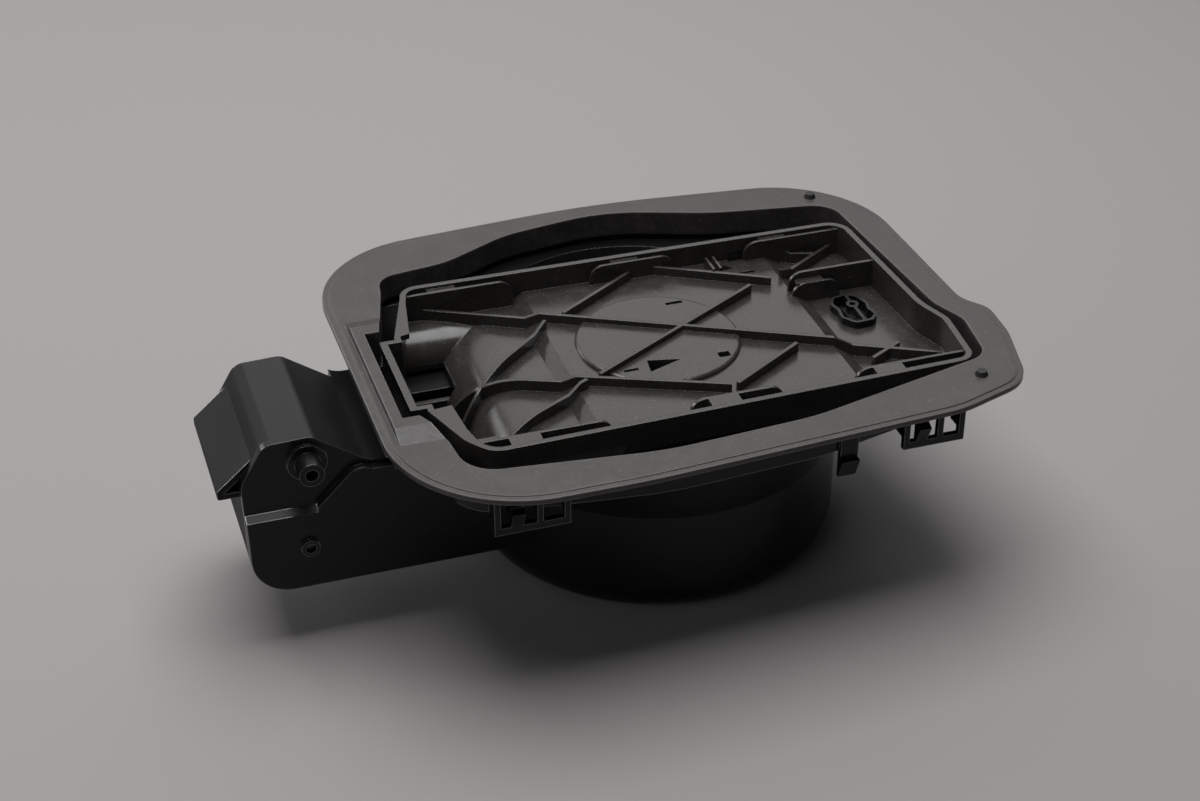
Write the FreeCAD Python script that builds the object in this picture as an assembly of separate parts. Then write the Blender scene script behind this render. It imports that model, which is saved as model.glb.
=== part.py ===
import FreeCAD, Part
import math
import os

V = FreeCAD.Vector

# Collar and flange levels
COLLAR_TOP = 75.0
COLLAR_THICK = 2.0
LIP_WIDE = 2.2
LIP_DROP = 0.3
FLANGE_THICK = 2.5
FLANGE_INSET = 4.0
SKIRT_THICK = 1.5
SKIRT_DEEP = 9.0
SEAT_GAP = 0.05
WALL = 2.5

# Round socket pot
POT_RADIUS = 63.0
POT_FLOOR = 3.0
POT_FOOT_ROUND = 11.0
FLARE_TOP = COLLAR_TOP - 11.0
FLARE_START = FLARE_TOP - 24.0
FLARE_HALF_WIDTH = 73.0
FLARE_SHIFT = 2.0
SOCKET_RADIUS = 36.0
SOCKET_SCREW_RADIUS = 2.75
SOCKET_SCREW_STEP = 34.0

# Hinge: pin axis along Y
PIN_X = -124.0
PIN_Z = COLLAR_TOP - 7.5
PIN_RADIUS = 2.0
PIN_RUNNING_GAP = 0.05
EYE_RADIUS = 4.8
BOX_NEAR = -34.0
PAD_THICK = 2.5
BOSS_LONG = 8.5
BOX_FAR = 20.0
HUMP_FAR = 15.5
HUMP_RIGHT = -106.0
HUMP_LOW = PIN_Z - 22.5
BOX_LEFT = -145.0
BOX_BOTTOM = PIN_Z - 46.0
LEDGE_TOP = PIN_Z - 16.5
LEDGE_DROP = 1.6
ARM_NEAR = -28.0
ARM_FAR = 15.0
ARM_WALL = 2.0
ARM_INNER_RADIUS = 35.5
ARM_SHELL = 2.4
ARM_BAND = 4.8
STEM_FRONT = -104.0
STEM_BACK = -112.0

# Flip spring between the housing wall and the arm
ANCHOR_X = -125.5
ANCHOR_Z = PIN_Z - 30.5
SPRING_PLANE = -29.75
SPRING_WIRE = 1.6
STUB_RADIUS = 1.7
STUB_GAP = 0.1
CRANK_RADIUS = 10.0
CRANK_ANGLE = -133.8

# Flap carrier levels
RIM_TOP = COLLAR_TOP
RIM_WALL = 2.0
END_FLOOR = RIM_TOP - 11.0
PLATEAU_RISE = 3.0
NEAR_WELL_FLOOR = END_FLOOR - 5.4
FAR_WELL_FLOOR = END_FLOOR - 9.0
FLAP_SHEET = 2.5
RIB_THICK = 1.3
RIB_HIGH = 4.0
PLATEAU_RIB_HIGH = 3.3
ROLL_RADIUS = 22.0
FAR_ROLL_RADIUS = 10.0
FAR_CREST = 38.0
POCKET_RIGHT = -69.0
POCKET_FLOOR = PIN_Z - 34.0
DISC_RADIUS = 26.5
DISC_X = 2.2
DISC_RISE = 1.4
RAIL_TOP = RIM_TOP - 1.0
TOWER_TOP = RIM_TOP - 3.6
RAIL_THICK = 1.2

# Push latch under the right end
LATCH_RADIUS = 8.0
LATCH_X = POT_RADIUS + LATCH_RADIUS + 2.5
LATCH_Y = 0.5
TRAY_FLOOR = END_FLOOR - 12.5
LATCH_BOTTOM = TRAY_FLOOR - 33.5
PISTON_RADIUS = 6.0
PISTON_GAP = 0.2
STEM_RADIUS = 2.2
HEAD_LONG = 11.0
HEAD_WIDE = 4.0
HEAD_GAP = 0.8
RECEIVER_WALL = 0.9
RECEIVER_RISE = 2.6

# Outlines seen from above: corner x, corner y, corner radius
COLLAR = [(-102, 78, 40), (5, 86, 300), (102, 75.5, 42), (104.5, -17, 12), (111, -25.5, 9),
          (110, -42, 30), (102.5, -70.5, 15), (76, -79.5, 40), (-30, -86.3, 300), (-101.5, -86, 44)]
OPENING = [(-80, 56.5, 8), (-55, 60, 30), (-30, 72.5, 40), (8, 78.5, 60), (46, 65.5, 80), (89, 58.5, 10),
           (94.5, -18, 20), (99.5, -30, 10), (96.5, -53, 8), (30, -69.5, 80), (-20, -73, 100),
           (-80.5, -66, 12), (-82.3, -47, 12), (-88.5, -34, 3), (-88.5, 18, 3), (-81.5, 46, 20)]
SLOT = (-93.5, -35.0, -80.0, 17.5)
FLAP = [(-75, 47.5, 7), (88, 46, 8), (91, -16, 25), (95, -28, 12), (92.5, -54, 6), (-71, -58, 9),
        (-77.5, -49, 12), (-84, -30, 2), (-84, 16, 2), (-76, 41, 12)]


# Bayonet insert seen from above, from its own centre
RECEIVER = [(-6.6, 4.5, 2.2), (-4.6, 8.8, 3), (0.6, 9.8, 2), (4.4, 8.0, 3), (6.2, 2.0, 1.5), (5.4, -1.5, 1.5),
            (6.4, -6.0, 2), (3.4, -9.0, 2), (-3.0, -9.4, 2.5), (-6.4, -4.6, 2.5), (-5.6, 0.5, 1.5)]


def plan(z):
    return lambda u, v: V(u, v, z)


def side(y):
    return lambda u, v: V(u, y, v)


def outline(corners, place):
    """A closed wire of straight lines with an arc at every corner that has a radius."""
    count = len(corners)
    starts, ends, middles = [], [], []
    for i in range(count):
        x, y, r = corners[i]
        ax, ay = corners[i - 1][:2]
        bx, by = corners[(i + 1) % count][:2]
        la, lb = math.hypot(ax - x, ay - y), math.hypot(bx - x, by - y)
        ua, ub = ((ax - x) / la, (ay - y) / la), ((bx - x) / lb, (by - y) / lb)
        half = math.acos(max(-1, min(1, ua[0] * ub[0] + ua[1] * ub[1]))) / 2
        back = r / math.tan(half)
        starts.append((x + ua[0] * back, y + ua[1] * back))
        ends.append((x + ub[0] * back, y + ub[1] * back))
        mx, my = ua[0] + ub[0], ua[1] + ub[1]
        ml = math.hypot(mx, my)
        depth = r / math.sin(half) - r
        middles.append((x + mx / ml * depth, y + my / ml * depth) if r else None)
    edges = []
    for i in range(count):
        if middles[i]:
            edges.append(Part.Arc(place(*starts[i]), place(*middles[i]), place(*ends[i])).toShape())
        nxt = starts[(i + 1) % count]
        if math.hypot(nxt[0] - ends[i][0], nxt[1] - ends[i][1]) > 1e-6:
            edges.append(Part.makeLine(place(*ends[i]), place(*nxt)))
    return Part.Wire(edges)


def grow(corners, step):
    """The same outline moved outward by a step, with the radii changed to suit."""
    count = len(corners)
    area = sum(corners[i - 1][0] * corners[i][1] - corners[i][0] * corners[i - 1][1] for i in range(count))
    turn = 1 if area > 0 else -1
    moved = []
    for i in range(count):
        (ax, ay), (x, y, r), (bx, by) = corners[i - 1][:2], corners[i], corners[(i + 1) % count][:2]
        la, lb = math.hypot(x - ax, y - ay), math.hypot(bx - x, by - y)
        na = ((y - ay) / la * turn, -(x - ax) / la * turn)
        nb = ((by - y) / lb * turn, -(bx - x) / lb * turn)
        scale = step / (1 + na[0] * nb[0] + na[1] * nb[1])
        convex = ((x - ax) * (by - y) - (y - ay) * (bx - x)) * turn > 0
        radius = max(r + (step if convex else -step), 0.3) if r else 0
        moved.append((x + (na[0] + nb[0]) * scale, y + (na[1] + nb[1]) * scale, radius))
    return moved


def slab(corners, low, high):
    return Part.Face(outline(corners, plan(low))).extrude(V(0, 0, high - low))


def side_slab(corners, near, far):
    return Part.Face(outline(corners, side(near))).extrude(V(0, far - near, 0))


def block(x0, y0, z0, x1, y1, z1):
    return Part.makeBox(x1 - x0, y1 - y0, z1 - z0, V(x0, y0, z0))


def rod(radius, x, z, near, far):
    return Part.makeCylinder(radius, far - near, V(x, near, z), V(0, 1, 0))


def post(radius, x, y, low, high):
    return Part.makeCylinder(radius, high - low, V(x, y, low))


def joined(shapes):
    return shapes[0].multiFuse(shapes[1:]).removeSplitter()


def polar(radius, degrees):
    a = math.radians(degrees)
    return (PIN_X + radius * math.cos(a), PIN_Z + radius * math.sin(a))


def opening_prism(extra, low, high):
    x0, y0, x1, y1 = SLOT
    slot = block(x0 - extra, y0 - extra, low, x1, y1 + extra, high)
    return slab(grow(OPENING, extra), low, high).fuse(slot)


FLANGE_TOP = COLLAR_TOP - COLLAR_THICK
FLANGE_LOW = FLANGE_TOP - FLANGE_THICK
SKIRT_LOW = COLLAR_TOP - SKIRT_DEEP
SEAT = SKIRT_THICK + SEAT_GAP
TRAY_EDGE = 62.0


# Housing moulding
def tray_dish(extra, floor):
    """The shallow sloping dish under the flap, from its upper edge to its floor."""
    upper = grow([(-88, 56, 14), (94, 56, 12), (97.5, -57, 10), (-84, -64, 14)], extra)
    lower = grow([(-82, 44, 6), (87, 43, 6), (87, -43, 6), (-81, -43, 6)], extra)
    rims = [outline(upper, plan(TRAY_EDGE + 2)), outline(lower, plan(floor))]
    return Part.makeLoft(rims, True, True)


def pot_bowl(inset):
    """The round pot with a flare to the wide sides of the opening."""
    r, foot = POT_RADIUS - inset, POT_FOOT_ROUND - inset
    low = POT_FLOOR if inset else 0.0
    turn = foot * math.sqrt(0.5)
    edges = [Part.makeLine(V(0, 0, low), V(r - foot, 0, low)),
             Part.Arc(V(r - foot, 0, low), V(r - foot + turn, 0, low + foot - turn),
                      V(r, 0, low + foot)).toShape(),
             Part.makeLine(V(r, 0, low + foot), V(r, 0, FLARE_START)),
             Part.makeLine(V(r, 0, FLARE_START), V(0, 0, FLARE_START)),
             Part.makeLine(V(0, 0, FLARE_START), V(0, 0, low))]
    cup = Part.Face(Part.Wire(edges)).revolve(V(0, 0, 0), V(0, 0, 1), 360)
    ring = Part.Wire(Part.makeCircle(r, V(0, 0, FLARE_START)))
    oval = Part.Ellipse(V(0, FLARE_SHIFT + FLARE_HALF_WIDTH - inset, FLARE_TOP),
                        V(r, FLARE_SHIFT, FLARE_TOP), V(0, FLARE_SHIFT, FLARE_TOP))
    ring.rotate(V(0, 0, 0), V(0, 0, 1), 90)
    flare = Part.makeLoft([ring, Part.Wire(oval.toShape())], True, True)
    return cup.fuse(flare)


def hinge_box(inset):
    """Side view of the trough that the arm swings in, pushed across its width."""
    low, left = BOX_BOTTOM + inset, BOX_LEFT + inset
    wall = -98 + inset
    neck = PIN_Z - 4.0 - inset
    corners = [(-45, low, 0), (left + 1, low, 13 - inset), (left, PIN_Z - 5.5, 8),
               (-137 + inset * 0.6, PIN_Z + 8.0 - inset, 5), (-122 - inset * 0.2, PIN_Z + 8.5 - inset, 5),
               (-112 - inset, PIN_Z + 1.5 - inset, 12), (-104, neck, 10),
               (wall, neck, 1.5), (wall, FLANGE_TOP + (8 if inset else -1), 0),
               (-45, FLANGE_TOP + (8 if inset else -1), 0)]
    trough = side_slab(corners, BOX_NEAR + inset, BOX_FAR - inset)
    return trough.cut(block(-170, HUMP_FAR - inset, HUMP_LOW - inset, HUMP_RIGHT - inset, BOX_FAR + 5, 90))


def box_pad():
    """The thicker lower field on the near wall, stepped round the pin boss."""
    top = PIN_Z - 5.5
    field = side_slab([(-50, BOX_BOTTOM, 0), (BOX_LEFT + 1, BOX_BOTTOM, 13), (BOX_LEFT + 0.4, LEDGE_TOP, 0),
                       (-122, LEDGE_TOP, 0), (-109, top + 2, 6), (-104, top, 0), (-50, top, 0)],
                      BOX_NEAR - PAD_THICK, BOX_NEAR + 0.5)
    front = BOX_NEAR - PAD_THICK
    slope = [(front - 1, LEDGE_TOP - LEDGE_DROP), (front, LEDGE_TOP - LEDGE_DROP), (BOX_NEAR, LEDGE_TOP),
             (BOX_NEAR, LEDGE_TOP + 1), (front - 1, LEDGE_TOP + 1), (front - 1, LEDGE_TOP - LEDGE_DROP)]
    wedge = Part.Face(Part.makePolygon([V(BOX_LEFT - 2, y, z) for y, z in slope])).extrude(V(25, 0, 0))
    return field.cut(rod(13, PIN_X, PIN_Z, BOX_NEAR - 3, BOX_NEAR + 1)).cut(wedge)


def ramp():
    """Sloping guide plate on the left of the hinge box with three gussets under it."""
    edge = PIN_Z - 8.0
    foot = PIN_Z - 11.0
    under = PIN_Z - 9.0
    plate = side_slab([(-134, PIN_Z + 7.7, 0), (-152, edge, 0.8), (-152, foot, 0.8), (-144, foot, 0),
                       (-144, under, 0), (-150, under, 0), (-133, PIN_Z + 5.5, 0)], -31, 13)
    web = [(-134, PIN_Z + 7.5, 0), (-151.5, edge, 0), (-151.5, foot + 0.5, 0), (-140, foot + 0.5, 0)]
    gussets = [side_slab(web, y, y + 2)
               for y in (-27, -10, 7)]
    return joined([plate] + gussets)


def prong(x, y, out):
    """Barbed snap finger under the flange; out is the side that its barb points to."""
    width, low = 6.0, COLLAR_TOP - 23.0
    y0 = min(y, y - out * 2)
    finger = block(x - width / 2, y0, low + 3, x + width / 2, y0 + 2, FLANGE_LOW + 1)
    face = Part.makePolygon([V(x - width / 2, y - out * 2, low), V(x - width / 2, y - out * 2, low + 7),
                             V(x - width / 2, y + out * 2, low + 7), V(x - width / 2, y - out * 0.8, low),
                             V(x - width / 2, y - out * 2, low)])
    return finger.fuse(Part.Face(face).extrude(V(width, 0, 0)))


def box_clip(x0, x1, y, out):
    """Frame clip with two windows and a sprung tongue in the wider one."""
    low, top, thick = COLLAR_TOP - 18.0, FLANGE_LOW + 1, 2.0
    y0 = min(y, y - out * thick)
    frame = block(x0, y0, low, x1, y0 + thick, top)
    split = x0 + (x1 - x0) * 0.6
    for a, b in ((x0 + 2, split - 1), (split + 1, x1 - 2)):
        frame = frame.cut(block(a, y0 - 1, low + 2.5, b, y0 + thick + 1, FLANGE_LOW - 2))
    middle = (x0 + split) / 2
    tongue = block(middle - 2, y0, low + 1, middle + 2, y0 + thick, FLANGE_LOW - 4)
    tooth = Part.Face(Part.makePolygon([V(middle - 2, y, low + 3), V(middle - 2, y, low + 9),
                                        V(middle - 2, y + out * 2.2, low + 8), V(middle - 2, y, low + 3)]))
    ears = [block(x, min(y0, y0 - out * 5), low + 4, x + 1.6, max(y0 + thick, y0 + thick - out * 5), top)
            for x in (x0, x1 - 1.6)]
    return joined([frame, tongue, tooth.extrude(V(4, 0, 0))] + ears)


def pot_housing():
    flange = slab(grow(COLLAR, -FLANGE_INSET), FLANGE_LOW, FLANGE_TOP)
    walls = opening_prism(SEAT + WALL, TRAY_EDGE, FLANGE_TOP - 0.5)
    outer = joined([flange, walls, tray_dish(2.0, TRAY_FLOOR - 2.0), pot_bowl(0), hinge_box(0), box_pad(),
                    ramp(),
                    rod(6.3, PIN_X, PIN_Z, BOX_NEAR - 1.5, BOX_NEAR + 0.5),
                    rod(4.0, PIN_X, PIN_Z, BOX_NEAR - BOSS_LONG, BOX_NEAR + 0.5),
                    rod(5.0, PIN_X, PIN_Z, HUMP_FAR - 0.5, HUMP_FAR + 4),
                    rod(3.0, ANCHOR_X, ANCHOR_Z, BOX_NEAR - PAD_THICK - 1.5, BOX_NEAR + 0.5),
                    prong(40.5, -73.0, -1), prong(40.5, 72.5, 1), prong(-52, 72.0, 1),
                    box_clip(60, 81, -71.5, -1), box_clip(50, 71, 72.0, 1), box_clip(-76, -52, -76.0, -1)])
    hollow = opening_prism(SEAT, TRAY_EDGE + 2, FLANGE_TOP + 8)
    hollow = joined([hollow, tray_dish(0.0, TRAY_FLOOR), pot_bowl(WALL), hinge_box(WALL)])
    body = outer.cut(hollow)
    holes = [post(SOCKET_RADIUS, 0, 0, -1, POT_FLOOR + 1)]
    for sx in (-1, 1):
        for sy in (-1, 1):
            x, y = sx * SOCKET_SCREW_STEP, sy * SOCKET_SCREW_STEP
            holes.append(post(SOCKET_SCREW_RADIUS, x, y, -1, POT_FLOOR + 1))
    holes.append(rod(PIN_RADIUS, PIN_X, PIN_Z, BOX_NEAR - BOSS_LONG - 1, HUMP_FAR + 5))
    holes.append(rod(STUB_RADIUS, ANCHOR_X, ANCHOR_Z, BOX_NEAR - PAD_THICK - 2, BOX_NEAR + WALL + 1))
    holes.append(post(STEM_RADIUS + 1.3, LATCH_X, LATCH_Y, TRAY_FLOOR - 4, TRAY_FLOOR + 2))
    for sy in (-1, 1):
        holes.append(post(1.4, LATCH_X, LATCH_Y + sy * 12.5, TRAY_FLOOR - 4, TRAY_FLOOR + 2))
    for x, y in STUDS:
        holes.append(post(STUD_STEM, x, y, FLANGE_LOW - 1, FLANGE_TOP + 1))
    return body.cut(joined(holes))


# Collar seal
STUDS = ((84.0, 66.0), (89.5, -63.5))
STUD_STEM = 1.5
STUD_HEAD = 2.2


def collar_bridge():
    """Raised pad beside the arm slot with a ramp at each end."""
    low, rise = COLLAR_TOP - 0.5, 2.6
    points = [(-46, low), (-46, COLLAR_TOP), (-40, COLLAR_TOP + rise), (23, COLLAR_TOP + rise),
              (30, COLLAR_TOP), (30, low), (-46, low)]
    face = Part.Face(Part.makePolygon([V(-112, y, z) for y, z in points]))
    return face.extrude(V(34, 0, 0)).common(slab(grow(COLLAR, -4.5), low - 1, COLLAR_TOP + rise + 1))


def collar_seal():
    sheet = slab(COLLAR, FLANGE_TOP, COLLAR_TOP)
    band = slab(grow(COLLAR, 1.0), COLLAR_TOP - LIP_DROP, COLLAR_TOP + 1)
    step = band.cut(slab(grow(COLLAR, -LIP_WIDE), COLLAR_TOP - 1, COLLAR_TOP + 2))
    skirt = opening_prism(SKIRT_THICK, SKIRT_LOW, COLLAR_TOP)
    seal = joined([sheet.cut(step), skirt, collar_bridge()])
    seal = seal.cut(opening_prism(0.0, SKIRT_LOW - 1, COLLAR_TOP + 8))
    for x, y in STUDS:
        seal = seal.cut(post(STUD_STEM, x, y, FLANGE_TOP - 1, COLLAR_TOP + 1))
    return seal


def locating_studs():
    studs = []
    for x, y in STUDS:
        stem = post(STUD_STEM, x, y, FLANGE_LOW - 1.5, COLLAR_TOP)
        head = Part.makeCone(STUD_HEAD, STUD_HEAD * 0.7, 1.6, V(x, y, COLLAR_TOP))
        studs.append(stem.fuse(head).removeSplitter())
    return Part.makeCompound(studs)


# Flap carrier
STRIP_LEFT = (-36.5, -32.0)
STRIP_RIGHT = (57.0, 62.5)


def floor_line(level, rise, top):
    """Side view of everything over the stepped floor, up to a closing level."""
    return [(-120, top, 0), (-120, level, 0), (STRIP_LEFT[0], level, 0), (STRIP_LEFT[1], level + rise, 0),
            (STRIP_RIGHT[0], level + rise, 0), (STRIP_RIGHT[1], level, 0), (120, level, 0), (120, top, 0)]


def pocket_tool(near, far, low):
    """Space left of the convex roll at the hinge end, outside the arm's inner shell."""
    corners = [(POCKET_RIGHT + ROLL_RADIUS, 80, 0), (POCKET_RIGHT + ROLL_RADIUS, END_FLOOR, 0),
               (POCKET_RIGHT, END_FLOOR, ROLL_RADIUS - 0.01), (POCKET_RIGHT, POCKET_FLOOR, 7),
               (-104, POCKET_FLOOR, 0), (-104, 80, 0)]
    tool = side_slab(corners, near, far).common(block(-120, near, low, -40, far, 90))
    return tool.cut(rod(ARM_INNER_RADIUS + ARM_SHELL, PIN_X, PIN_Z, near - 1, far + 1))


def rib(ax, ay, bx, by):
    """Upright strip between two points seen from above."""
    length = math.hypot(bx - ax, by - ay)
    strip = Part.makeBox(length, RIB_THICK, 60, V(0, -RIB_THICK / 2, 30))
    strip.rotate(V(0, 0, 0), V(0, 0, 1), math.degrees(math.atan2(by - ay, bx - ax)))
    strip.translate(V(ax, ay, 0))
    return strip


def rib_lattice():
    runs = [(-76, 47, 90, -37.3), (-72, -0.1, 14.6, -37), (9, 46.6, 52, 23), (-72, -14.5, -31.3, 19.5),
            (-24, 22.5, 6, 42), (-24, -18.1, 43.3, 20.7), (16.6, -37, 44, -20), (-76, -45.2, -29, -20),
            (57, 27, 88, 46), (66, -33, 78, -26.5), (64, 47, 66, 41), (66, 41, 75, 38)]
    strips = joined([rib(*run) for run in runs])
    level = END_FLOOR + RIB_HIGH
    rise = END_FLOOR + PLATEAU_RISE + PLATEAU_RIB_HIGH
    corners = [(POCKET_RIGHT - RIB_HIGH, 30, 0), (POCKET_RIGHT - RIB_HIGH, END_FLOOR - 4, 0),
               (-90, END_FLOOR, 0), (-90, level, 0), (STRIP_LEFT[0], level, 0), (STRIP_LEFT[1], rise, 0),
               (STRIP_RIGHT[0], rise, 0), (STRIP_RIGHT[1], level, 0), (120, level, 0), (120, 30, 0)]
    lid = side_slab(corners, -90, 90)
    over_roll = pocket_tool(ARM_NEAR - 30, ARM_FAR + 14, 20).cut(
        rod(ROLL_RADIUS + RIB_HIGH, POCKET_RIGHT + ROLL_RADIUS, END_FLOOR - ROLL_RADIUS, -90, 90))
    return strips.common(lid).cut(over_roll)


def rail(x0, x1, y, floor, top=RAIL_TOP):
    """Clip rail along the rim with rounded upper corners."""
    return side_slab([(x0, floor - 1, 0), (x0, top, 5), (x1, top, 5), (x1, floor - 1, 0)],
                     y - RAIL_THICK / 2, y + RAIL_THICK / 2)


def clip_rails():
    plateau = END_FLOOR + PLATEAU_RISE
    rails = [rail(-80, -36, 43.0, END_FLOOR), rail(-8, 23, 43.0, plateau), rail(49, 92, 42.5, END_FLOOR),
             rail(-76, -30, -50.0, END_FLOOR), rail(-4, 28, -48.0, plateau), rail(53, 96, -47.0, END_FLOOR),
             rail(56, 74, 14.0, END_FLOOR, TOWER_TOP), rail(56, 96, 17.5, END_FLOOR)]
    for x, y0, y1 in ((-66, 43, 46), (0, 43, 46), (55, 42.5, 46),
                      (-64, -55, -50), (2, -54, -48), (59, -53, -47)):
        rails.append(block(x, y0, RAIL_TOP - 2.2, x + 10, y1, RAIL_TOP))
    rails.append(block(58, 14.0, TOWER_TOP - 2.0, 68, 17.5, TOWER_TOP))
    return joined(rails)


def snap_tongue():
    """Two upright blades with a gusset between the slots beside the far rim."""
    foot = END_FLOOR + PLATEAU_RISE - 1
    top = END_FLOOR + PLATEAU_RISE + 4
    blades = [block(x, 33.4, foot, x + 0.9, 42, top) for x in (34.2, 36.8)]
    gusset = side_slab([(37, foot, 0), (37, top - 0.5, 0), (43.8, foot + 1, 0), (43.8, foot, 0)], 38, 39)
    return joined(blades + [gusset])


def rim_corners():
    """Flat widenings of the rim's top on both sides of the arm."""
    far = [(-83.5, 16.5, 0), (-78.5, 17.5, 0), (-74.5, 40, 0), (-76.5, 41, 0)]
    near = [(-83.5, -29.5, 0), (-76.2, -28.6, 0), (-75.2, -43, 0), (-73.5, -51, 0), (-77.5, -49, 0)]
    return joined([slab(corner, RIM_TOP - RIM_WALL, RIM_TOP + 6) for corner in (far, near)])


def arm_body():
    """Outside of the hollow swan-neck arm with its stem and pin eye."""
    grown = ARM_SHELL
    crest = POCKET_RIGHT + ROLL_RADIUS + 3
    corners = [(crest, END_FLOOR, 0), (crest, END_FLOOR - grown, 0),
               (POCKET_RIGHT + grown, END_FLOOR - grown, ROLL_RADIUS - grown),
               (POCKET_RIGHT + grown, POCKET_FLOOR - grown, 9),
               (-104, POCKET_FLOOR - grown, 0), (-104, RIM_TOP, 0), (-81, RIM_TOP, 0), (-81, END_FLOOR, 0)]
    box = side_slab(corners, ARM_NEAR, ARM_FAR)
    reach = 90
    fan = [(PIN_X, PIN_Z, 0)] + [polar(reach, a) + (0,) for a in (-40, -80, STEM_BACK)]
    band = rod(ARM_INNER_RADIUS + ARM_BAND, PIN_X, PIN_Z, ARM_NEAR, ARM_FAR)
    band = band.common(side_slab(fan, ARM_NEAR, ARM_FAR))
    shell = joined([box, band]).cut(rod(ARM_INNER_RADIUS, PIN_X, PIN_Z, ARM_NEAR - 1, ARM_FAR + 1))
    root = [polar(EYE_RADIUS - 0.5, -70), polar(ARM_INNER_RADIUS + 1, STEM_FRONT),
            polar(ARM_INNER_RADIUS + ARM_BAND, STEM_BACK), polar(EYE_RADIUS - 0.5, -150)]
    stem = side_slab([p + (0,) for p in root], ARM_NEAR + 4, ARM_FAR - 3)
    eye = rod(EYE_RADIUS, PIN_X, PIN_Z, ARM_NEAR, ARM_FAR - 3)
    ax, az = polar(CRANK_RADIUS, CRANK_ANGLE)
    lug = joined([rod(3.4, ax, az, ARM_NEAR, ARM_NEAR + 6),
                  side_slab([polar(4, CRANK_ANGLE + 90) + (0,), polar(4, CRANK_ANGLE - 90) + (0,),
                             (ax - 2.4, az + 2.4, 0), (ax + 2.4, az - 2.4, 0)], ARM_NEAR, ARM_NEAR + 6)])
    whole = joined([shell, stem, eye, lug])
    return whole.cut(rod(STUB_RADIUS, ax, az, ARM_NEAR - 1, ARM_NEAR + 5))


def flap_carrier():
    under = END_FLOOR - FLAP_SHEET
    tray = slab(FLAP, END_FLOOR + 0.5, RIM_TOP).fuse(slab(grow(FLAP, -0.8), under, END_FLOOR + 1))
    crest = POCKET_RIGHT + ROLL_RADIUS
    near_cover = block(-80, ARM_NEAR - 15, NEAR_WELL_FLOOR - ARM_SHELL, crest, ARM_NEAR + 1, under + 1)
    far_cover = block(-80, ARM_FAR - 1, FAR_WELL_FLOOR - 2.0, crest, FAR_CREST, under + 1)
    covers = near_cover.fuse(far_cover).common(slab(grow(FLAP, -0.8), under - 12, under + 2))
    outer = joined([tray, arm_body(), covers])
    space = slab(grow(FLAP, -RIM_WALL), END_FLOOR - 10, RIM_TOP + 5).common(
        side_slab(floor_line(END_FLOOR, PLATEAU_RISE, RIM_TOP + 4), -90, 90))
    deep = pocket_tool(ARM_NEAR + ARM_WALL, ARM_FAR - ARM_WALL, 20)
    well_area = slab(grow(FLAP, -RIM_WALL), under - 12, RIM_TOP + 5)
    near_well = pocket_tool(ARM_NEAR - 13, ARM_NEAR + ARM_WALL + 1, NEAR_WELL_FLOOR).common(well_area)
    far_side = ARM_FAR - ARM_WALL
    far_well = pocket_tool(far_side - 1, FAR_CREST, FAR_WELL_FLOOR).common(well_area)
    far_axis = V(-100, FAR_CREST, END_FLOOR - FAR_ROLL_RADIUS)
    far_well = far_well.cut(Part.makeCylinder(FAR_ROLL_RADIUS, 80, far_axis, V(1, 0, 0)))
    space = joined([space, deep, near_well, far_well])
    plateau = END_FLOOR + PLATEAU_RISE
    disc = post(DISC_RADIUS + DISC_RISE, DISC_X, 0, plateau - 1, plateau + DISC_RISE)
    disc = disc.makeFillet(DISC_RISE * 0.95, [e for e in disc.Edges if e.BoundBox.ZMin > plateau])
    space = space.cut(joined([rib_lattice(), clip_rails(), rim_corners(), snap_tongue(), disc]))
    belly = slab(grow(FLAP, -RIM_WALL - 1), under - 5, plateau).common(
        side_slab([(STRIP_LEFT[0] + 1, under - 1, 0), (STRIP_LEFT[1] + 1, plateau - FLAP_SHEET, 0),
                   (STRIP_RIGHT[0] - 1, plateau - FLAP_SHEET, 0),
                   (STRIP_RIGHT[1] - 1, under - 1, 0)], -90, 90))
    window = block(-80, far_side - 1, POCKET_FLOOR + 13,
                   POCKET_RIGHT + 4, FAR_CREST - FAR_ROLL_RADIUS, FAR_WELL_FLOOR + 1)
    body = outer.cut(space).cut(belly).cut(window.common(well_area))
    body = body.cut(rod(PIN_RADIUS + PIN_RUNNING_GAP, PIN_X, PIN_Z, ARM_NEAR - 1, ARM_FAR + 1))
    body = body.cut(slab(receiver_outline(), under - 2, END_FLOOR + 5))
    low = plateau - FLAP_SHEET - 1
    body = body.cut(slab([(-6, -12.5, 0), (5, -15, 0), (-7, -19.5, 0)], low, plateau + 3))
    for x, y, w, d in ((15, 20, 6.0, 1.6), (19.6, -16.6, 4.0, 3.0), (-12.8, -16.6, 5.0, 1.4),
                       (47, 44.2, 6, 1.2), (46.6, 34.3, 7.5, 1.2)):
        body = body.cut(block(x - w / 2, y - d / 2, low, x + w / 2, y + d / 2, plateau + 3))
    return body.removeSplitter()


# Hinge pin, spring stubs and flip spring
def hinge_pin():
    return rod(PIN_RADIUS, PIN_X, PIN_Z, BOX_NEAR - 5, HUMP_FAR + 3)


def spring_anchor():
    return rod(STUB_RADIUS, ANCHOR_X, ANCHOR_Z, BOX_NEAR - PAD_THICK, ARM_NEAR - 0.6)


def crank_stub():
    x, z = polar(CRANK_RADIUS, CRANK_ANGLE)
    return rod(STUB_RADIUS, x, z, ARM_NEAR - 2.8, ARM_NEAR + 5)


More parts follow.
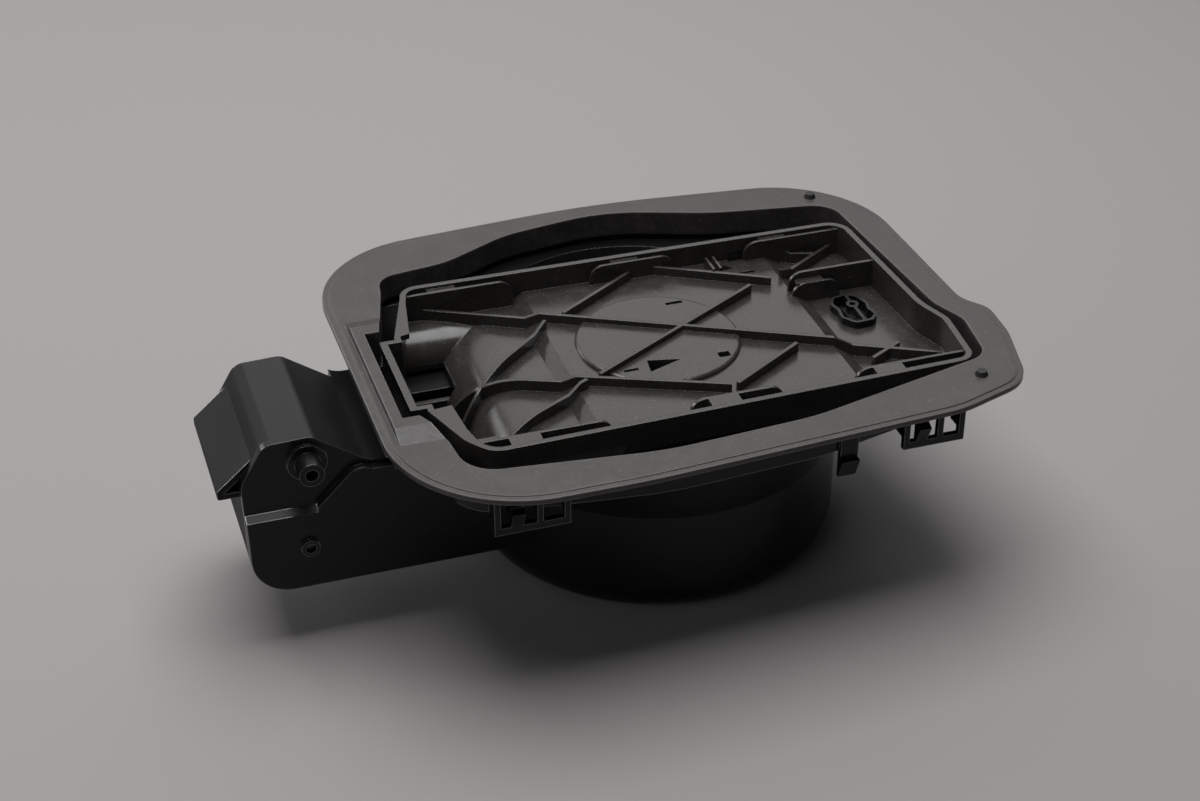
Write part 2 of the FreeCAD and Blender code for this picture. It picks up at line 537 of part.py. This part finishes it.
def flip_spring():
    """Bow of spring wire with a ring at each end."""
    x, z = polar(CRANK_RADIUS, CRANK_ANGLE)
    wire = SPRING_WIRE / 2
    ring_radius = STUB_RADIUS + STUB_GAP + wire
    rings = [Part.makeTorus(ring_radius, wire, V(cx, SPRING_PLANE, cz), V(0, 1, 0))
             for cx, cz in ((ANCHOR_X, ANCHOR_Z), (x, z))]
    start, end = V(ANCHOR_X - ring_radius, SPRING_PLANE, ANCHOR_Z), V(x - ring_radius, SPRING_PLANE, z)
    bulge = (start + end) * 0.5 + V(-6.5, 0, 0)
    arc = Part.Arc(start, bulge, end)
    path = Part.Wire(arc.toShape())
    along = arc.tangent(arc.FirstParameter)[0]
    disc = Part.Wire(Part.makeCircle(wire, start, along))
    bow = path.makePipeShell([disc], True, False)
    return joined([bow] + rings)


# Push latch
LATCH_TOP = TRAY_FLOOR - 2.0
PISTON_LOW = TRAY_FLOOR - 15.5
PISTON_TOP = LATCH_TOP - 0.5


def receiver_outline():
    return [(LATCH_X + x, LATCH_Y + y, r) for x, y, r in RECEIVER]


def latch_body():
    barrel = post(LATCH_RADIUS, LATCH_X, LATCH_Y, LATCH_BOTTOM, LATCH_TOP)
    ears = block(LATCH_X - 5, LATCH_Y - 16.5, LATCH_TOP - 3, LATCH_X + 5, LATCH_Y + 16.5, LATCH_TOP)
    bore = post(PISTON_RADIUS + PISTON_GAP, LATCH_X, LATCH_Y, LATCH_BOTTOM + 2.5, LATCH_TOP + 1)
    body = barrel.fuse(ears).cut(bore)
    for sy in (-1, 1):
        body = body.cut(post(1.6, LATCH_X, LATCH_Y + sy * 12.5, LATCH_TOP - 5, LATCH_TOP + 1))
    return body.removeSplitter()


def latch_screws():
    screws = []
    for sy in (-1, 1):
        y = LATCH_Y + sy * 12.5
        shank = post(1.4, LATCH_X, y, LATCH_TOP - 3, TRAY_FLOOR + 0.6)
        head = post(2.8, LATCH_X, y, LATCH_TOP - 5, LATCH_TOP - 3)
        screws.append(shank.fuse(head).removeSplitter())
    return Part.makeCompound(screws)


def latch_plunger():
    piston = post(PISTON_RADIUS, LATCH_X, LATCH_Y, PISTON_LOW, PISTON_TOP)
    stem = post(STEM_RADIUS, LATCH_X, LATCH_Y, PISTON_TOP - 1, END_FLOOR - 0.1)
    head = block(LATCH_X - HEAD_WIDE / 2, LATCH_Y - HEAD_LONG / 2, END_FLOOR - 2, LATCH_X + HEAD_WIDE / 2,
                 LATCH_Y + HEAD_LONG / 2, END_FLOOR - 0.4)
    return joined([piston, stem, head])


def latch_spring():
    wire, coil, low = 0.45, 4.6, LATCH_BOTTOM + 2.5
    high = PISTON_LOW
    rise = high - low - 2 * wire
    helix = Part.makeHelix(rise / 5.5, rise, coil)
    helix.translate(V(LATCH_X, LATCH_Y, low + wire))
    start = V(LATCH_X + coil, LATCH_Y, low + wire)
    disc = Part.Wire(Part.makeCircle(wire, start, V(0, 1, 0)))
    return Part.Wire(helix).makePipeShell([disc], True, True)


def latch_receiver():
    """Thin lobed wall with a bar slot in its floor and a cross wall that carries a small tube."""
    low, top = END_FLOOR - FLAP_SHEET, END_FLOOR + RECEIVER_RISE
    shape = receiver_outline()
    cup = slab(shape, low, top).cut(slab(grow(shape, -RECEIVER_WALL), low + 1.2, top + 1))
    slot = block(LATCH_X - HEAD_WIDE / 2 - HEAD_GAP, LATCH_Y - HEAD_LONG / 2 - HEAD_GAP, low - 1,
                 LATCH_X + HEAD_WIDE / 2 + HEAD_GAP, LATCH_Y + HEAD_LONG / 2 + HEAD_GAP, low + 2)
    cross = block(LATCH_X + 0.3, LATCH_Y - 9, END_FLOOR + 0.6, LATCH_X + 1.3, LATCH_Y + 9, top)
    cross = cross.common(slab(shape, low, top))
    tube = post(2.1, LATCH_X + 0.8, LATCH_Y + 2.8, END_FLOOR + 0.6, top)
    bore = post(1.2, LATCH_X + 0.8, LATCH_Y + 2.8, END_FLOOR, top + 1)
    return joined([cup.cut(slot), cross, tube]).cut(bore).removeSplitter()


os.makedirs("parts", exist_ok=True)
for make in (pot_housing, collar_seal, locating_studs, hinge_pin, spring_anchor, flip_spring, flap_carrier,
             crank_stub, latch_receiver, latch_body, latch_screws, latch_plunger, latch_spring):
    shape = make()
    shape.exportStep("parts/" + make.__name__ + ".step")
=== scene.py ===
import math
import bpy
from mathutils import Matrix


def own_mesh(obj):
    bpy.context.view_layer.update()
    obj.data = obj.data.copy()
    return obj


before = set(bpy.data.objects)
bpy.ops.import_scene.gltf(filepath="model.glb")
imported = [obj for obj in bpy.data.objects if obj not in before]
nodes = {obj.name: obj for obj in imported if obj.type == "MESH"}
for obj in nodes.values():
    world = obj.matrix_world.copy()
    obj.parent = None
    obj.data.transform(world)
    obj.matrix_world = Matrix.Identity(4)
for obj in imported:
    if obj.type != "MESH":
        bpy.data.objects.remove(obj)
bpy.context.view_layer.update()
bpy.context.scene.view_settings.view_transform = "Standard"

# Pot housing: the round socket pot, its dish and the hinge box in one black polypropylene moulding.
# It is injected in one shot, so every face has the tool's fine spark grain, with flow marks on the flats
# and a glossier coat along the edges, whose colour is painted paler as a highlight.


class Wire:
    """One node socket that can be used in plain sums."""

    def __init__(self, tree, socket):
        self.tree = tree
        self.socket = socket

    def node(self, kind, settings, values, out=0):
        made = self.tree.nodes.new("ShaderNode" + kind)
        for name, value in settings.items():
            setattr(made, name, value)
        for name, value in values.items():
            self.join(made.inputs[name], value)
        return Wire(self.tree, made.outputs[out])

    def join(self, socket, value):
        if isinstance(value, Wire):
            self.tree.links.new(value.socket, socket)
        else:
            socket.default_value = value

    def sums(self, operation, first, second):
        return self.node("Math", {"operation": operation}, {0: first, 1: second})

    def __add__(self, other):
        return self.sums("ADD", self, other)

    def __radd__(self, other):
        return self.sums("ADD", other, self)

    def __sub__(self, other):
        return self.sums("SUBTRACT", self, other)

    def __rsub__(self, other):
        return self.sums("SUBTRACT", other, self)

    def __mul__(self, other):
        return self.sums("MULTIPLY", self, other)

    def __rmul__(self, other):
        return self.sums("MULTIPLY", other, self)

    def between(self, low, high):
        return self.node("MapRange", {}, {"Value": self, "From Min": low, "From Max": high})

    def tint(self, dark, pale):
        return self.node("Mix", {"data_type": "RGBA"}, {0: self, 6: dark, 7: pale}, out=2)


def moulded(name, settings):
    """A material and its shader, with the wire that starts its pattern at the object's own coordinates."""
    material = bpy.data.materials.new(name)
    material.use_nodes = True
    tree = material.node_tree
    shader = tree.nodes["Principled BSDF"]
    for socket, value in settings.items():
        shader.inputs[socket].default_value = value
    place = Wire(tree, tree.nodes.new("ShaderNodeTexCoord").outputs["Object"])
    return material, shader, place


def grain(place, scale, detail=2.0):
    """Even cloudy noise from 0 to 1 at a scale in patterns per metre."""
    return place.node("TexNoise", {}, {"Vector": place, "Scale": scale, "Detail": detail})


def rounded_edge_lean(place, reach):
    """The normal with its edges rounded, and its lean from the face: 0 on the flats, more along edges."""
    rounded = place.node("Bevel", {"samples": 6}, {"Radius": reach})
    flat = place.node("NewGeometry", {}, {}, out=1)
    facing = place.node("VectorMath", {"operation": "DOT_PRODUCT"}, {0: rounded, 1: flat}, out=1)
    return rounded, 1 - facing


def relief(place, height, strength, rounded):
    """The grain's fine relief over the rounded normal."""
    grain_depth = 0.0002
    values = {"Strength": strength, "Distance": grain_depth, "Height": height, "Normal": rounded}
    return place.node("Bump", {}, values)


def cover(place, shader, links):
    """Joins what changes over the surface to the shader's sockets."""
    for socket, value in links.items():
        place.join(shader.inputs[socket], value)


def dress(node, material):
    """Gives a CAD node its finish."""
    node.data.materials.clear()
    node.data.materials.append(material)


def ramp_hatch(place):
    """The crossed lines cut into the guide ramp, and where its face lies: left of the hinge box's top."""
    waves = 4500.0
    ramp_right = -0.1342
    ramp_near = -0.0313
    fade_right = 0.0005
    fade_near = 0.0002
    along = place.node("SeparateXYZ", {}, {"Vector": place}, out=0)
    across = place.node("SeparateXYZ", {}, {"Vector": place}, out=1)
    left_of_box = along.between(ramp_right, ramp_right - fade_right)
    on_ramp = left_of_box * across.between(ramp_near, ramp_near + fade_near)
    rising = place.sums("SINE", (along + across) * waves, 0.0)
    falling = place.sums("SINE", (along - across) * waves, 0.0)
    return rising * falling * on_ramp, on_ramp


def black_plastic(name, dark, pale, rough, radius, cut=None):
    """Spark grain and flow marks, with a glossier coat and a painted highlight on edges of this radius, and
    any lines cut into it.
    """
    gloss = {"IOR": 1.5, "Specular IOR Level": 0.24, "Coat Roughness": 0.1, "Coat IOR": 2.2}
    material, shader, place = moulded(name, gloss)
    spark = grain(place, 2600.0, 3.0)
    matt = 0.0
    if cut:
        lines, field = cut(place)
        spark = spark + 5.0 * lines
        matt = 0.3 * field
    flow = grain(place, 38.0, 4.0)
    rounded, lean = rounded_edge_lean(place, radius)
    edge_highlight = lean.between(0.01, 0.22)
    # The edge mask pales the colour along the edges: a painted highlight, not wear.
    colour = (flow * 0.35 + edge_highlight * 0.65).tint(dark, pale)
    dull = rough + 0.16 * flow - 0.10 * edge_highlight + matt
    bump = relief(place, spark, 0.10, rounded)
    cover(place, shader, {"Base Color": colour, "Roughness": dull, "Coat Weight": edge_highlight, "Normal": bump})
    return material


pot_black = black_plastic("pot_black", (0.0045, 0.0045, 0.0044, 1), (0.013, 0.013, 0.0126, 1), 0.22, 0.0006,
                          ramp_hatch)
dress(nodes["pot_housing"], pot_black)

# Collar seal: the soft grey collar round the opening, thermoplastic rubber moulded over the pot's flange.
# Its face is matt with a fine leather-like grain and a little pale dust, its outer lip is thinner, and its
# edges are painted paler as a highlight.


def grey_rubber(name, dark, pale):
    """A clouded, smeared and mottled matt skin with dust on it, and edges painted paler as a highlight."""
    sheen = {"IOR": 1.5, "Specular IOR Level": 0.32, "Coat Roughness": 0.25, "Coat IOR": 1.7}
    material, shader, place = moulded(name, sheen)
    skin = grain(place, 1900.0, 3.0)
    cloud = grain(place, 24.0, 5.0)
    smear = grain(place, 130.0, 4.0).between(0.45, 0.75)
    dust = grain(place, 900.0, 2.0).between(0.66, 0.76)
    mottle = grain(place, 520.0, 4.0).between(0.34, 0.68)
    rounded, lean = rounded_edge_lean(place, 0.0012)
    rim_highlight = lean.between(0.01, 0.25)
    # The edge mask pales the colour along the edges: a painted rim highlight.
    colour = (cloud * 0.35 + smear * 0.25 + mottle * 0.2 + dust * 0.8 + rim_highlight).tint(dark, pale)
    dull = 0.24 + 0.12 * cloud + 0.10 * smear + 0.14 * mottle
    bump = relief(place, skin, 0.14, rounded)
    cover(place, shader, {"Base Color": colour, "Roughness": dull, "Coat Weight": 0.6 * rim_highlight, "Normal": bump})
    return material


collar_grey = grey_rubber("collar_grey", (0.030, 0.0272, 0.0262, 1), (0.094, 0.0862, 0.0826, 1))
dress(nodes["collar_seal"], collar_grey)

# Locating studs: two small dark studs pressed into the collar's right corners, turned from acetal rod.
# They keep the collar from creeping on the flange.

stud_dark = black_plastic("stud_dark", (0.020, 0.019, 0.018, 1), (0.034, 0.033, 0.032, 1), 0.35, 0.0003)
dress(nodes["locating_studs"], stud_dark)

# Hinge pin, spring anchor and flip spring: a plain steel pin and stub, pressed into the box walls, and a
# bow of spring wire between the anchor and the arm, which throws the flap open or shut past its centre.


def drawn_steel(name, dark, pale, rough):
    """Bare steel with fine lines along y, which is the pin's length."""
    material, shader, place = moulded(name, {"Metallic": 1.0})
    streak = place.node("Mapping", {}, {"Vector": place, "Scale": (900.0, 40.0, 900.0)})
    lines = place.node("TexNoise", {}, {"Vector": streak, "Scale": 1.0, "Detail": 2.0})
    cover(place, shader, {"Base Color": lines.tint(dark, pale), "Roughness": rough + 0.18 * lines})
    return material


pin_steel = drawn_steel("pin_steel", (0.045, 0.044, 0.043, 1), (0.085, 0.083, 0.08, 1), 0.26)
spring_wire = drawn_steel("spring_wire", (0.24, 0.23, 0.22, 1), (0.40, 0.39, 0.38, 1), 0.28)
dress(nodes["hinge_pin"], pin_steel)
dress(nodes["spring_anchor"], pin_steel)
dress(nodes["flip_spring"], spring_wire)

# Flap carrier: the ribbed panel that the painted skin clips to, with its swan-neck arm, in one moulding of
# The fibres leave a fine mottled grain, and the thin ribs' top edges are painted paler as a highlight.


def filled_nylon(name, dark, pale):
    """A fibre mottle with clouds, smears and pale flecks, and rib tops painted paler as a highlight."""
    gloss = {"IOR": 1.53, "Specular IOR Level": 0.45, "Coat Roughness": 0.12, "Coat IOR": 1.9}
    material, shader, place = moulded(name, gloss)
    fibre = grain(place, 1500.0, 4.0)
    cloud = grain(place, 30.0, 5.0)
    rounded, lean = rounded_edge_lean(place, 0.0005)
    edge_highlight = lean.between(0.02, 0.35)
    fleck = grain(place, 1100.0, 1.0).between(0.71, 0.78)
    smear = grain(place, 160.0, 4.0).between(0.45, 0.75)
    mottle = grain(place, 640.0, 4.0).between(0.34, 0.68)
    # The edge mask pales the colour along the rib tops and edges: a painted highlight.
    colour = (cloud * 0.35 + mottle * 0.16 + fibre * 0.15 + smear * 0.25 + edge_highlight * 0.15).tint(dark, pale)
    dusty = (fleck * 0.55).tint(colour, (0.16, 0.152, 0.145, 1))
    dull = 0.17 + 0.08 * cloud + 0.10 * smear + 0.03 * mottle + 0.2 * fleck
    bump = relief(place, fibre, 0.06, rounded)
    cover(place, shader, {"Base Color": dusty, "Roughness": dull, "Coat Weight": 0.7 * edge_highlight, "Normal": bump})
    return material


carrier_grey = filled_nylon("carrier_grey", (0.022, 0.0203, 0.0188, 1), (0.052, 0.0478, 0.0445, 1))
dress(nodes["flap_carrier"], carrier_grey)
dress(nodes["crank_stub"], pin_steel)

# Push latch: a black barrel screwed under the dish, a spring, a plunger with a bar head, and the round
# bayonet insert at the flap's right end that the bar turns in. Acetal, moulded, with a smooth slippery skin.
# The steel spring shortens by the plunger's travel when it is pushed; here it only gets a mesh of its own.

latch_black = black_plastic("latch_black", (0.009, 0.009, 0.009, 1), (0.018, 0.018, 0.018, 1), 0.30, 0.0003)
for part in ("latch_receiver", "latch_body", "latch_plunger"):
    dress(nodes[part], latch_black)
dress(nodes["latch_screws"], pin_steel)
dress(nodes["latch_spring"], spring_wire)
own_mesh(nodes["latch_spring"])

# Studio table: a plain pale sheet of matt board that takes the object's shadow, in a nearly dark room.
# Four soft boxes light it: one overhead, two behind for the sheen on flats and rolls, and a weak left one.

table_wide = 12.0
bpy.ops.object.select_all(action="DESELECT")
bpy.ops.mesh.primitive_plane_add(size=table_wide, location=(0, 0, 0))
table = bpy.context.object
table.name = "table"
sheet = bpy.data.materials.new("table_sheet")
sheet.use_nodes = True
board = sheet.node_tree.nodes["Principled BSDF"]
board.inputs["Base Color"].default_value = (0.292, 0.278, 0.276, 1)
board.inputs["Roughness"].default_value = 0.75
table.data.materials.append(sheet)

world = bpy.data.worlds.new("studio")
bpy.context.scene.world = world
world.use_nodes = True
room = world.node_tree.nodes["Background"]
room.inputs["Color"].default_value = (0.9, 0.9, 0.92, 1)
room.inputs["Strength"].default_value = 0.04


def soft_box(name, place, aim, wide, deep, power):
    """One rectangular lamp, aimed by its turns in degrees."""
    lamp = bpy.data.lights.new(name, "AREA")
    lamp.shape = "RECTANGLE"
    lamp.size = wide
    lamp.size_y = deep
    lamp.energy = power
    holder = bpy.data.objects.new(name, lamp)
    bpy.context.scene.collection.objects.link(holder)
    holder.location = place
    holder.rotation_euler = [math.radians(angle) for angle in aim]


soft_box("overhead", (-0.05, 0.15, 1.15), (-7, 0, 0), 1.0, 0.9, 15.2)
soft_box("back_slope", (0.22, 1.15, 1.0), (-48, 0, -12), 1.8, 1.1, 7.2)
soft_box("back_left", (-0.9, 1.15, 0.5), (-73, 0, 38), 0.6, 0.45, 3.6)
soft_box("left_fill", (-1.3, -0.75, 0.9), (60, 0, -60), 1.2, 0.8, 2.6)

# Camera: a 66 mm lens on a 36 mm sensor, above the table in front of the hinge box.
# It looks down at the object from its near left, as the photo does.

eye = bpy.data.cameras.new("camera")
eye.sensor_width = 36.0
eye.lens = 66.0
camera = bpy.data.objects.new("camera", eye)
bpy.context.scene.collection.objects.link(camera)
camera.location = (-0.2103, -0.5914, 0.4512)
camera.rotation_euler = (math.radians(57), 0, math.radians(-18))
bpy.context.scene.camera = camera
